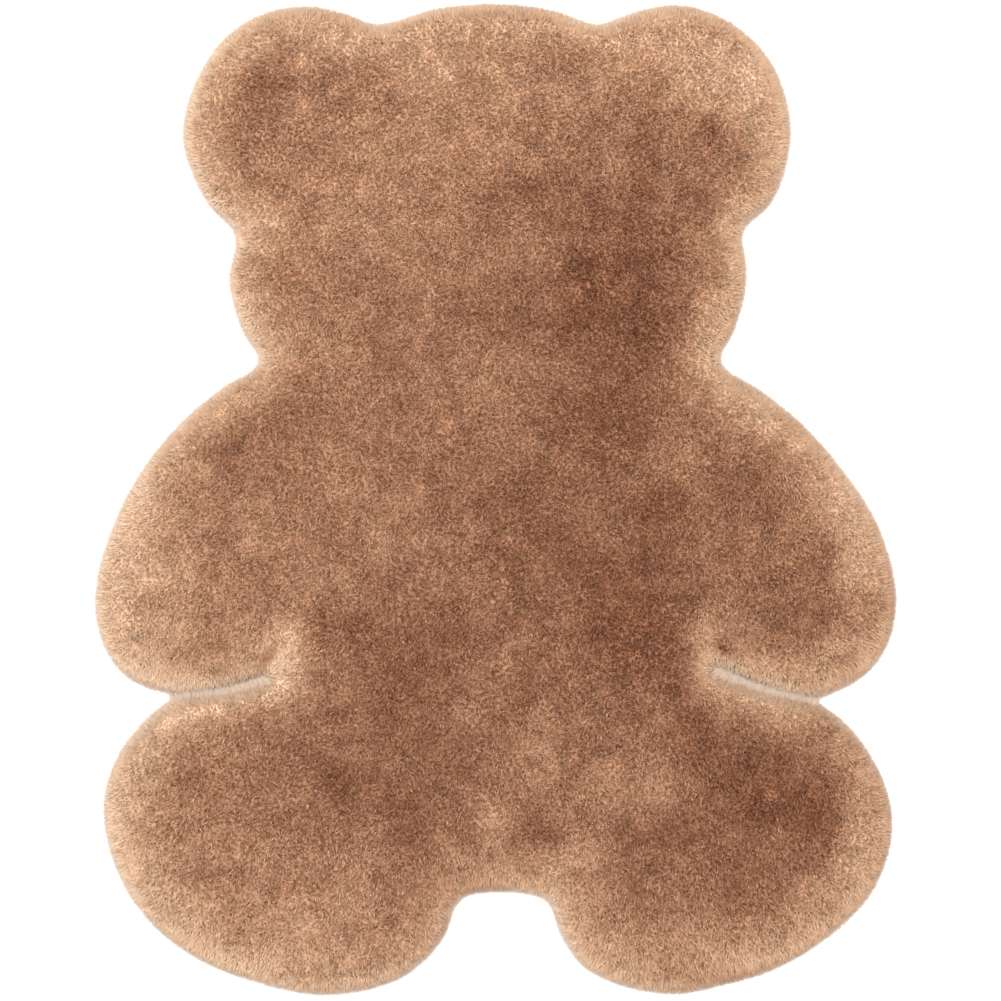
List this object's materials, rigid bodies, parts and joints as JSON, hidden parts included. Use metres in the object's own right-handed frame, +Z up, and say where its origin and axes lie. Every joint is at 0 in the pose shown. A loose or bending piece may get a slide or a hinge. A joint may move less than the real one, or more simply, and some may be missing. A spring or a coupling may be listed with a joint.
{
  "type": "bear shaped kids rug",
  "caption": "Flat rug of short dense brown faux fur, cut to the outline of a sitting bear with round ears, arms and legs.",
  "frame": {"origin": "middle of the rug's box, on the floor that it lies on", "axes": "+X across the arms, +Y from the feet to the head, +Z up out of the pile"},
  "size_m": [0.8087, 0.9999, 0.0265],
  "materials": {
    "pile": "short dense faux fur, warm brown with paler hair tips at the rim"
  },
  "bodies": {
    "root": {"rug": "pile"}
  },
  "joints": []
}
